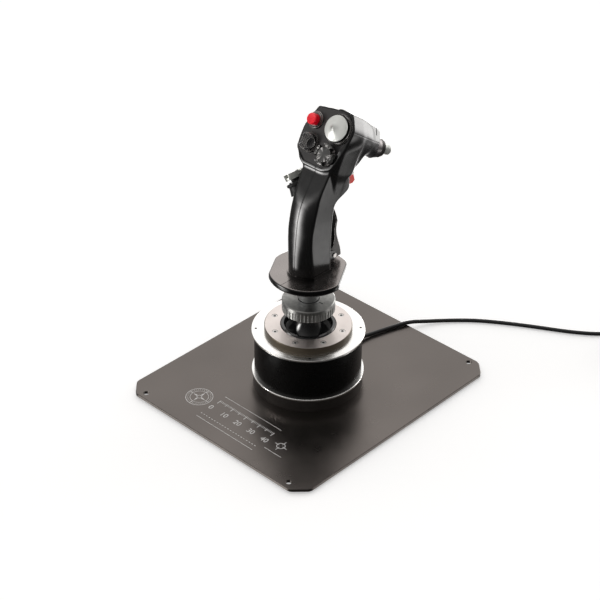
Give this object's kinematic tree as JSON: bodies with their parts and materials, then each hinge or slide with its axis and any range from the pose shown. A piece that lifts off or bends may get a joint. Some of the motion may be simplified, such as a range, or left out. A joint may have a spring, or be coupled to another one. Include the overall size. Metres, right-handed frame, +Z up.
{
  "type": "flight joystick",
  "caption": "Desk flight joystick: a pilot grip with hats, buttons, trigger and paddle on a sprung ball gimbal in a round base bolted to a wide metal plate, with a USB lead.",
  "frame": {"origin": "middle of the base plate's outline, on the surface that the rubber pads stand on", "axes": "+Z up along the stick's axis at rest, +Y away from the pilot, +X to the pilot's right; the stick's axis is at y = -2.75 mm"},
  "size_m": [0.344, 0.4316, 0.2798],
  "materials": {
    "plate_metal": "satin",
    "rubber": "matte",
    "black_metal": "satin",
    "bright_metal": "brushed",
    "warm_metal": "satin",
    "screw_steel": "machined",
    "cast_grey": "cast",
    "gimbal_alloy": "machined",
    "bronze": "machined",
    "spring_steel": "drawn",
    "magnet": "plated",
    "board_green": "solder mask",
    "black_gloss": "gloss",
    "grip_black": "satin gloss",
    "face_black": "fine texture",
    "hat_black": "satin",
    "hat_grey": "satin",
    "hat_silver": "satin",
    "plastic_white": "plain",
    "switch_black": "plain",
    "nut_metal": "dark plated",
    "red_plastic": "gloss",
    "tip_silver": "satin",
    "lever_metal": "satin",
    "cord_black": "satin",
    "plug_metal": "plated"
  },
  "bodies": {
    "base": {"base_plate": "plate_metal", "plate_feet": "rubber", "base_skirt": "black_metal", "trim_band": "bright_metal", "base_housing": "black_metal", "top_cover": "bright_metal", "cover_screws": "screw_steel", "gimbal_flange": "warm_metal", "flange_screws": "screw_steel", "housing_bolts": "screw_steel", "gimbal_pedestal": "gimbal_alloy", "pedestal_bushes": "bronze", "spring_seat": "gimbal_alloy", "centring_spring": "spring_steel", "sensor_board": "board_green", "main_board": "board_green", "board_screws": "screw_steel", "cable_gland": "cord_black", "usb_cord": "cord_black", "cord_coil": "cord_black", "usb_plug": "cord_black", "plug_shell": "plug_metal"},
    "gimbal_cross": {"gimbal_cross": "gimbal_alloy"},
    "stick": {"ball_cup": "black_gloss", "sensor_magnets": "magnet", "ear_bushes": "bronze", "stem": "gimbal_alloy", "stem_socket": "switch_black", "grip_spigot": "bright_metal", "grip_plug": "switch_black", "hand_rest": "black_gloss", "head_cover": "grip_black", "grip_shell_left": "grip_black", "grip_shell_right": "grip_black", "shell_screws": "screw_steel", "face_plate": "face_black", "hat_bezels": "face_black", "side_hat_boss": "face_black", "hat_switches": "switch_black", "button_nuts": "nut_metal", "microswitches": "switch_black", "grip_board": "board_green", "lever_pins": "screw_steel", "trigger_spring": "spring_steel", "paddle_spring": "spring_steel"},
    "lock_collar": {"lock_collar": "cast_grey"},
    "trim_hat_ring": {"trim_hat_ring": "plastic_white"},
    "trim_hat": {"trim_hat": "hat_silver"},
    "castle_hat_ring": {"castle_hat_ring": "plastic_white"},
    "castle_hat": {"castle_hat": "hat_black"},
    "scoop_hat_ring": {"scoop_hat_ring": "plastic_white"},
    "scoop_hat": {"scoop_hat": "hat_black"},
    "side_hat_plunger": {"side_hat_plunger": "plastic_white"},
    "side_hat_ring": {"side_hat_ring": "plastic_white"},
    "side_hat": {"side_hat": "hat_grey"},
    "red_button": {"red_button": "red_plastic"},
    "tip_button": {"tip_button": "tip_silver"},
    "trigger": {"trigger": "red_plastic"},
    "paddle": {"paddle": "lever_metal"}
  },
  "joints": [
    {"name": "stick_pitch", "type": "hinge", "parent": "base", "child": "gimbal_cross", "pos_m": [0, -0.00275, 0.0546], "axis": [1, 0, 0], "range_deg": [-18, 18], "stiffness_Nm_per_rad": 8, "deforming": ["centring_spring"]},
    {"name": "stick_roll", "type": "hinge", "parent": "gimbal_cross", "child": "stick", "pos_m": [0, -0.00275, 0.0546], "axis": [0, 1, 0], "range_deg": [-18, 18], "stiffness_Nm_per_rad": 8, "deforming": ["centring_spring"]},
    {"name": "collar_turn", "type": "hinge", "parent": "stick", "child": "lock_collar", "pos_m": [0, -0.00275, 0.092], "axis": [0, 0, 1], "continuous": true},
    {"name": "trigger_pull", "type": "hinge", "parent": "stick", "child": "trigger", "pos_m": [0, 0.03725, 0.2205], "axis": [-1, 0, 0], "range_deg": [0, 12], "stiffness_Nm_per_rad": 0.6, "springref_deg": -8.59},
    {"name": "paddle_pull", "type": "hinge", "parent": "stick", "child": "paddle", "pos_m": [0, 0.01975, 0.1395], "axis": [1, 0, 0], "range_deg": [0, 8], "stiffness_Nm_per_rad": 0.8, "springref_deg": -8.59, "deforming": ["paddle_spring"]},
    {"name": "red_button_press", "type": "slide", "parent": "stick", "child": "red_button", "axis": [0, 0.829, -0.5592], "range_m": [0, 0.002], "stiffness_N_per_m": 900, "springref_m": -0.001},
    {"name": "tip_button_press", "type": "slide", "parent": "stick", "child": "tip_button", "axis": [-0.2895, -0.8629, 0.4142], "range_m": [0, 0.002], "stiffness_N_per_m": 900, "springref_m": -0.001},
    {"name": "trim_hat_tilt_up", "type": "hinge", "parent": "stick", "child": "trim_hat_ring", "pos_m": [0.008, 0.02545, 0.26627], "axis": [1, 0, 0], "range_deg": [-6, 6], "stiffness_Nm_per_rad": 0.05},
    {"name": "trim_hat_tilt_side", "type": "hinge", "parent": "trim_hat_ring", "child": "trim_hat", "pos_m": [0.008, 0.02545, 0.26627], "axis": [0, 0.5592, 0.829], "range_deg": [-6, 6], "stiffness_Nm_per_rad": 0.05},
    {"name": "castle_hat_tilt_up", "type": "hinge", "parent": "stick", "child": "castle_hat_ring", "pos_m": [0.0066, 0.01136, 0.24538], "axis": [1, 0, 0], "range_deg": [-6, 6], "stiffness_Nm_per_rad": 0.05},
    {"name": "castle_hat_tilt_side", "type": "hinge", "parent": "castle_hat_ring", "child": "castle_hat", "pos_m": [0.0066, 0.01136, 0.24538], "axis": [0, 0.5592, 0.829], "range_deg": [-6, 6], "stiffness_Nm_per_rad": 0.05},
    {"name": "scoop_hat_tilt_up", "type": "hinge", "parent": "stick", "child": "scoop_hat_ring", "pos_m": [-0.0169, 0.01382, 0.24903], "axis": [1, 0, 0], "range_deg": [-6, 6], "stiffness_Nm_per_rad": 0.05},
    {"name": "scoop_hat_tilt_side", "type": "hinge", "parent": "scoop_hat_ring", "child": "scoop_hat", "pos_m": [-0.0169, 0.01382, 0.24903], "axis": [0, 0.5592, 0.829], "range_deg": [-6, 6], "stiffness_Nm_per_rad": 0.05},
    {"name": "side_hat_press", "type": "slide", "parent": "stick", "child": "side_hat_plunger", "axis": [0.6198, 0, -0.7848], "range_m": [0, 0.001], "stiffness_N_per_m": 900, "springref_m": -0.0006},
    {"name": "side_hat_tilt_up", "type": "hinge", "parent": "side_hat_plunger", "child": "side_hat_ring", "pos_m": [-0.02091, 0.00275, 0.21182], "axis": [0, 1, 0], "range_deg": [-6, 6], "stiffness_Nm_per_rad": 0.05},
    {"name": "side_hat_tilt_side", "type": "hinge", "parent": "side_hat_ring", "child": "side_hat", "pos_m": [-0.02091, 0.00275, 0.21182], "axis": [-0.7848, 0, -0.6198], "range_deg": [-6, 6], "stiffness_Nm_per_rad": 0.05}
  ]
}
